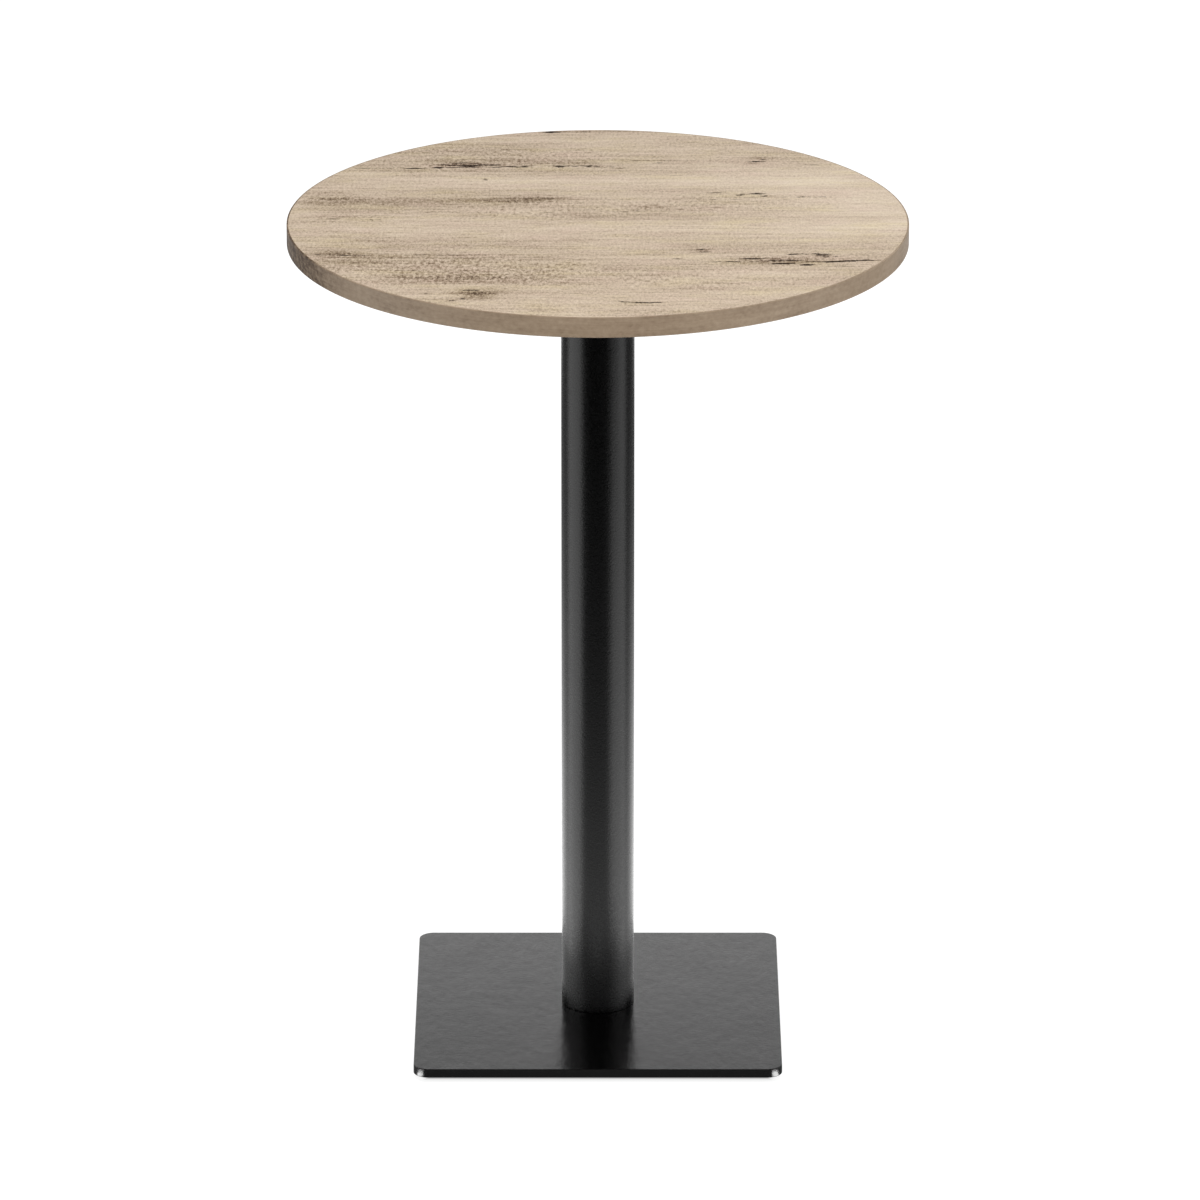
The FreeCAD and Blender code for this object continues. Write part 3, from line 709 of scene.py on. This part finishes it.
def make_speckled(name):
    """A dull material with fine speckles in wide clouds."""
    dark, light, waves, roughness, depth = SPECKLED[name]
    material, shader, surface = new_material(name, Specular_IOR_Level=SPECKLED_SPECULAR)
    place = shader.place()
    speckles = shader.noise(place, (waves,) * 3, *SPECKLES)
    cloud = shader.noise(place, (waves / SPECKLES_TO_CLOUD,) * 3)
    tone = shader.ranged(shader.total(speckles, shader.swing(cloud, CLOUD_SWING)), *NOISE_SPAN)
    shader.feed(surface.inputs["Base Color"], shader.ramp(tone, ((0.0, dark), (1.0, light))))
    shader.feed(surface.inputs["Roughness"], shader.ranged(cloud, *NOISE_SPAN, *roughness))
    shader.feed(surface.inputs["Normal"], shader.bump(speckles, depth))
    return material


def make_chipboard():
    """Pressed wood chips of mixed tones."""
    material, shader, surface = new_material("chipboard", Roughness=CHIP_ROUGHNESS)
    place = shader.vector("MULTIPLY", shader.place(), CHIPS)
    chips = shader.node("ShaderNodeTexVoronoi", {"Vector": place, "Scale": 1.0})
    tone = shader.node("ShaderNodeRGBToBW", {"Color": chips.outputs["Color"]}).outputs[0]
    shader.feed(surface.inputs["Base Color"], shader.ramp(tone, CHIP_STOPS))
    shader.feed(surface.inputs["Normal"], shader.bump(chips.outputs["Distance"], CHIP_RELIEF))
    return material


# Meshes


def new_object(name, solid):
    """Puts a bmesh into the scene."""
    mesh = bpy.data.meshes.new(name)
    bmesh.ops.recalc_face_normals(solid, faces=solid.faces)
    solid.to_mesh(mesh)
    solid.free()
    item = bpy.data.objects.new(name, mesh)
    bpy.context.scene.collection.objects.link(item)
    return item


def new_piece(name, solid, material, slot, *nodes, cutters=()):
    """Makes a piece from a bmesh, less its cutters, riding on the table and standing for CAD nodes."""
    piece = new_object(name, solid)
    if cutters:
        drill(piece, cutters)
    piece.data.materials.clear()
    piece.data.materials.append(material)
    finish_shading(piece)
    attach(piece, "table")
    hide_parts(*nodes)


def finish_shading(piece):
    """Smooth rounds between flat faces that stay flat."""
    piece.data.shade_smooth()
    piece.data.set_sharp_from_angle(angle=SMOOTH_ANGLE)
    normals = piece.modifiers.new("flat_faces", "WEIGHTED_NORMAL")
    normals.keep_sharp = True


def drill(piece, cutters):
    """Cuts solids out of a piece and removes them."""
    for cutter in cutters:
        cut = piece.modifiers.new(cutter.name, "BOOLEAN")
        cut.operation = "DIFFERENCE"
        cut.solver = "EXACT"
        cut.object = cutter
    graph = bpy.context.evaluated_depsgraph_get()
    piece.data = bpy.data.meshes.new_from_object(piece.evaluated_get(graph))
    piece.modifiers.clear()
    for cutter in cutters:
        bpy.data.objects.remove(cutter)


def skin(loops, hollow=False):
    """A closed solid through loops of points.

    A hollow one joins its last loop to its first. Any other is capped at both ends.
    """
    solid = bmesh.new()
    rows = [[solid.verts.new(point) for point in loop] for loop in loops]
    pairs = list(zip(rows, rows[1:]))
    if hollow:
        pairs.append((rows[-1], rows[0]))
    for lower, upper in pairs:
        count = len(lower)
        for number in range(count):
            after = (number + 1) % count
            solid.faces.new((lower[number], lower[after], upper[after], upper[number]))
    if not hollow:
        solid.faces.new(rows[0])
        solid.faces.new(rows[-1])
    return solid


def lathe(profile, segments=RIM_SEGMENTS, centre=(0.0, 0.0), hollow=False):
    """Turns a profile of (radius, height) about an upright axis."""
    turns = [math.tau * number / segments for number in range(segments)]
    loops = [
        [(centre[0] + r * math.cos(turn), centre[1] + r * math.sin(turn), z) for turn in turns]
        for r, z in profile
    ]
    return skin(loops, hollow)


def edge_levels(low, high, radius):
    """Insets and heights that round both rims of a plate or of a tube's outside."""
    levels = []
    for middle, start in ((low + radius, -QUARTER), (high - radius, 0.0)):
        for step in range(ROUND_STEPS + 1):
            angle = start + QUARTER * step / ROUND_STEPS
            levels.append((radius - radius * math.cos(angle), middle + radius * math.sin(angle)))
    return levels


def rounded_square(half, corner, inset, height):
    """A square's outline with round corners, drawn in by the inset."""
    points = []
    for quarter in range(4):
        x = (half - corner) * (1 if quarter in (0, 3) else -1)
        y = (half - corner) * (1 if quarter in (0, 1) else -1)
        for step in range(CORNER_STEPS + 1):
            angle = QUARTER * quarter + QUARTER * step / CORNER_STEPS
            reach = corner - inset
            points.append((x + reach * math.cos(angle), y + reach * math.sin(angle), height))
    return points


def around(count, radius):
    """Places on a circle about the column's axis."""
    turns = [math.tau * number / count for number in range(count)]
    return [(radius * math.cos(turn), radius * math.sin(turn)) for turn in turns]


def ring_of(node, head_radius):
    """The radius of the circle that a group of screws stands on."""
    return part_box(node)[1].x - head_radius


def bore(centre, radius, bottom, top):
    profile = ((radius, bottom), (radius, top))
    return new_object("bore", lathe(profile, HOLE_SEGMENTS, centre))


def wood_screw_bores(low, high, clearance):
    """Bores through a plate for the screws that go into the core board."""
    radius = WOOD_SCREW_RADIUS + clearance
    places = around(WOOD_SCREWS, ring_of("top_wood_screws", WOOD_SCREW_HEAD_RADIUS))
    return [bore(place, radius, low.z - CUT_OVERRUN, high.z + CUT_OVERRUN) for place in places]


def countersinks(node, head, shank, face, sign, far):
    """Countersunk holes for a node's screws, from a face to a far level, sign giving the way there."""
    radius, height = head
    places = around(PLATE_BOLTS, ring_of(node, radius))
    profile = (
        (radius + SEAT_CLEARANCE, face - sign * CUT_OVERRUN),
        (radius + SEAT_CLEARANCE, face + sign * HEAD_SINK),
        (shank + SCREW_CLEARANCE, face + sign * (HEAD_SINK + height)),
        (shank + SCREW_CLEARANCE, far + sign * CUT_OVERRUN),
    )
    return [new_object("countersink", lathe(profile, HOLE_SEGMENTS, place)) for place in places]


# Pieces of the table


def build_decor_sheet(material):
    low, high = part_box("top_decor_laminate")
    solid = lathe(((high.x, low.z), (high.x, high.z)))
    new_piece("decor_sheet", solid, material, "wood_decor", "top_decor_laminate")


def build_backing_sheet(material):
    low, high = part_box("top_backing_laminate")
    solid = lathe(((high.x, low.z), (high.x, high.z)))
    bores = wood_screw_bores(low, high, THREAD_CLEARANCE)
    new_piece("backing_sheet", solid, material, "backing", "top_backing_laminate", cutters=bores)


def tube_solid(low, high, wall, radius):
    """A tube between two levels whose outer rims are rounded."""
    inside = high.x - wall
    outside = [(high.x - inset, z) for inset, z in edge_levels(low.z, high.z, radius)]
    return lathe([(inside, low.z), *outside, (inside, high.z)], hollow=True)


def build_band(material):
    solid = tube_solid(*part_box("top_edge_band"), BAND_THICKNESS, BAND_ROUND)
    new_piece("rim_band", solid, material, "edge_band", "top_edge_band")


def build_column(material):
    solid = tube_solid(*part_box("column_tube"), COLUMN_WALL, COLUMN_END_ROUND)
    new_piece("column", solid, material, "black_paint", "column_tube")


def build_mounting_plate(material):
    low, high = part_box("top_mounting_plate")
    levels = edge_levels(low.z, high.z, PLATE_EDGE_ROUND)
    solid = lathe([(high.x - inset, z) for inset, z in levels])
    holes = wood_screw_bores(low, high, SCREW_CLEARANCE)
    holes += countersinks("column_top_screws", TOP_BOLT_HEAD, TOP_BOLT_RADIUS, high.z, -1, low.z)
    new_piece("mounting_plate", solid, material, "black_paint", "top_mounting_plate", cutters=holes)


def build_base(material):
    low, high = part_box("base_plate")
    levels = edge_levels(low.z, high.z, PLATE_EDGE_ROUND)
    solid = skin([rounded_square(high.x, BASE_CORNER_RADIUS, inset, z) for inset, z in levels])
    holes = countersinks("base_fixing_screws", BASE_BOLT_HEAD, BASE_BOLT_RADIUS, low.z, 1, high.z)
    radius = FOOT_THREAD_RADIUS + THREAD_CLEARANCE
    for foot in FEET:
        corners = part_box(f"foot_pad_{foot}")
        middle = (corners[0] + corners[1]) / 2
        place = (middle.x, middle.y)
        holes.append(bore(place, radius, low.z - CUT_OVERRUN, low.z + FOOT_BORE_DEPTH))
    new_piece("base", solid, material, "black_paint", "base_plate", cutters=holes)


def finish_node(name, material):
    """Gives a CAD node that stays visible its finish."""
    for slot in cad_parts[name].material_slots:
        slot.material = material


def build_table():
    column_paint = make_paint("column_paint")
    base_paint = make_paint("base_paint")
    build_decor_sheet(make_wood_decor())
    build_band(make_edge_band())
    build_backing_sheet(make_speckled("backing"))
    build_mounting_plate(base_paint)
    build_column(column_paint)
    build_base(base_paint)
    zinc = make_steel("zinc_steel")
    bare = make_steel("bare_steel")
    plastic = make_speckled("foot_plastic")
    rubber = make_speckled("foot_rubber")
    finish_node("top_core_board", make_chipboard())
    for name in ("top_wood_screws", "column_top_screws", "base_fixing_screws"):
        finish_node(name, zinc)
    for name in ("column_top_disc", "column_bottom_disc"):
        finish_node(name, bare)
    for foot in FEET:
        finish_node(f"foot_pad_{foot}", plastic)
        finish_node(f"foot_sole_{foot}", rubber)
        finish_node(f"foot_stud_{foot}", zinc)


# Stage


def stage_material(name):
    """A material without a surface yet, its node tree, and the input that takes the surface."""
    material = bpy.data.materials.new(name)
    material.use_nodes = True
    tree = material.node_tree
    tree.nodes.remove(tree.nodes["Principled BSDF"])
    return material, Shader(tree), tree.nodes["Material Output"].inputs["Surface"]


def level_stops(levels, start, end):
    """Ramp stops for radiances that are given by distance between a start and an end."""
    return tuple(((place - start) / (end - start), (light,) * 3) for place, light in levels)


def floor_pool(shader, place):
    """The floor's light in reflections from further off."""
    reach = shader.vector("LENGTH", place, output="Value")
    share = shader.math("DIVIDE", reach, FLOOR_REACH)
    ahead = shader.ramp(share, level_stops(FLOOR_AHEAD, 0.0, FLOOR_REACH))
    behind = shader.ramp(share, level_stops(FLOOR_BEHIND, 0.0, FLOOR_REACH))
    back = shader.math("DIVIDE", shader.along(place, "Y"), reach)
    return shader.mix(shader.ranged(back, *FLOOR_TURN), ahead, behind)


def floor_margin(shader, folded, length):
    """The floor's light in the base's own edges, by the length of the way to it."""
    spots = shader.marks(folded, GLINTS, GLINT_CORE)
    spot = shader.math("MULTIPLY", spots, shader.ranged(length, *GLINT_RAY))
    return shader.math("ADD", shader.ranged(length, *MARGIN_GLOW), spot)


def build_floor():
    """White floor. What reflects in the black paint is a pool of light round the base."""
    plane = bmesh.new()
    bmesh.ops.create_grid(plane, x_segments=1, y_segments=1, size=FLOOR_HALF_SIDE)
    floor = new_object("floor", plane)
    floor.location.z = -FLOOR_DROP
    material, shader, surface = stage_material("floor")
    place = shader.place()
    pool = floor_pool(shader, place)
    path = shader.node("ShaderNodeLightPath")
    by_camera = path.outputs["Is Camera Ray"]
    light = shader.glow(pool, shader.math("SUBTRACT", 1.0, by_camera))
    far = shader.added(shader.clear(), light)

    folded = shader.vector("ABSOLUTE", place)
    across = shader.node("ShaderNodeSeparateXYZ", {"Vector": folded}).outputs
    square_reach = shader.math("MAXIMUM", across["X"], across["Y"])
    length = path.outputs["Ray Length"]
    near = shader.glow(strength=floor_margin(shader, folded, length))
    beside = shader.math("GREATER_THAN", square_reach, MARGIN_START)
    short = shader.math("MULTIPLY", shader.ranged(length, *MARGIN_RAY), beside)
    reflected = shader.either(shader.math("SUBTRACT", short, by_camera, clamp=True), far, near)

    # Painted contact shadow: the floor's glow and colour darken under the base
    outside_painted_shadow = shader.ranged(square_reach, *FLOOR_PAINTED_SHADOW)
    bright = shader.glow(strength=shader.math("MULTIPLY", outside_painted_shadow, FLOOR_WHITE))
    shade = shader.mix(outside_painted_shadow, BLACK, FLOOR_SHADE)
    shaded = shader.node("ShaderNodeBsdfDiffuse", {"Color": shade}).outputs[0]
    from_below = shader.node("ShaderNodeNewGeometry").outputs["Backfacing"]
    seen = shader.math("SUBTRACT", by_camera, from_below, clamp=True)
    shader.feed(surface, shader.either(seen, reflected, shader.added(bright, shaded)))
    floor.data.materials.append(material)


def build_backdrop():
    """A glowing sheet behind the table, brightest low down, which only reflections see."""
    sheet = bmesh.new()
    low, high = BACKDROP_LEVELS[0][0], BACKDROP_LEVELS[-1][0]
    x, y = BACKDROP_HALF_WIDTH, BACKDROP_BEHIND
    corners = ((-x, y, low), (x, y, low), (x, y, high), (-x, y, high))
    sheet.faces.new([sheet.verts.new(corner) for corner in corners])
    backdrop = new_object("backdrop", sheet)
    material, shader, surface = stage_material("backdrop")
    height = shader.along(shader.place(), "Z")
    share = shader.math("DIVIDE", shader.math("SUBTRACT", height, low), high - low)
    shader.feed(surface, shader.glow(shader.ramp(share, level_stops(BACKDROP_LEVELS, low, high))))
    backdrop.data.materials.append(material)
    backdrop.visible_camera = False
    backdrop.visible_shadow = False


def build_ring():
    """The low ring of light round the base."""
    wall = bmesh.new()
    bmesh.ops.create_cone(
        wall,
        cap_ends=False,
        segments=HOLE_SEGMENTS,
        radius1=RING_RADIUS,
        radius2=RING_RADIUS,
        depth=RING_HIGH - RING_LOW,
    )
    ring = new_object("low_ring", wall)
    ring.location.z = (RING_LOW + RING_HIGH) / 2
    material, shader, surface = stage_material("low_ring")
    material.cycles.emission_sampling = "NONE"
    share = shader.math("MULTIPLY_ADD", shader.along(shader.place(), "Y"), 0.5 / RING_RADIUS, 0.5)
    level = shader.ramp(share, level_stops(RING_LEVELS, 0.0, 1.0))
    path = shader.node("ShaderNodeLightPath")
    mirrored = shader.math("GREATER_THAN", path.outputs["Ray Depth"], RING_MIRRORED)
    near = shader.ranged(path.outputs["Ray Length"], *RING_RAY)
    light = shader.glow(level, shader.math("MULTIPLY", mirrored, near))
    shader.feed(surface, shader.added(shader.clear(), light))
    ring.data.materials.append(material)
    ring.visible_camera = False
    ring.visible_diffuse = False
    ring.visible_shadow = False


def build_world():
    """White to the camera, even soft light for dull surfaces, and dark in front for glossy ones."""
    world = bpy.data.worlds.new("studio")
    bpy.context.scene.world = world
    world.use_nodes = True
    world.cycles.sampling_method = "NONE"
    shader = Shader(world.node_tree)
    background = world.node_tree.nodes["Background"]
    background.inputs["Color"].default_value = WHITE
    direction = shader.node("ShaderNodeSeparateXYZ", {"Vector": shader.sky()}).outputs
    up = direction["Z"]
    soft = shader.ranged(up, *WORLD_SOFT)
    behind = shader.ranged(direction["Y"], *WORLD_GLOSS)
    glossy = shader.math("MULTIPLY", behind, shader.ranged(up, *WORLD_HORIZON))
    path = shader.node("ShaderNodeLightPath")
    level = shader.between(path.outputs["Is Glossy Ray"], soft, glossy)
    level = shader.between(path.outputs["Is Camera Ray"], level, 1.0)
    shader.feed(background.inputs["Strength"], level)


def soft_box(name, place, aim, width, height, radiance):
    """A rectangular light of that radiance, pointed at a place."""
    light = bpy.data.lights.new(name, "AREA")
    light.shape = "RECTANGLE"
    light.size = width
    light.size_y = height
    light.energy = radiance * math.pi * width * height
    box = bpy.data.objects.new(name, light)
    box.location = place
    direction = Vector(aim) - Vector(place)
    box.rotation_euler = direction.to_track_quat("-Z", "Y").to_euler()
    box.visible_camera = False
    bpy.context.scene.collection.objects.link(box)
    return box


def build_lights():
    """One large soft box overhead and a stack at each side, brighter low down."""
    overhead = soft_box("overhead", OVERHEAD_PLACE, OVERHEAD_AIM, *OVERHEAD_SIZE, OVERHEAD_RADIANCE)
    overhead.visible_glossy = False
    for name, turn, half_turn, bottom, top, radiance, lights_dull in SIDE_BOXES:
        angle = math.radians(turn)
        middle = (bottom + top) / 2
        place = (SIDE_DISTANCE * math.sin(angle), -SIDE_DISTANCE * math.cos(angle), middle)
        width = 2 * SIDE_DISTANCE * math.tan(math.radians(half_turn))
        box = soft_box(name, place, (0.0, 0.0, middle), width, top - bottom, radiance)
        box.visible_diffuse = lights_dull


def build_camera():
    data = bpy.data.cameras.new("camera")
    data.sensor_width = SENSOR_WIDTH
    data.lens = FOCAL_PIXELS / FRAME_PIXELS * SENSOR_WIDTH
    data.clip_end = CAMERA_FAR
    camera = bpy.data.objects.new("camera", data)
    camera.location = CAMERA_PLACE
    camera.rotation_euler = (QUARTER - CAMERA_SLOPE, 0.0, 0.0)
    bpy.context.scene.collection.objects.link(camera)
    bpy.context.scene.camera = camera


bpy.context.scene.view_settings.view_transform = "Standard"
build_camera()
build_floor()
build_backdrop()
build_ring()
build_world()
build_lights()
build_table()
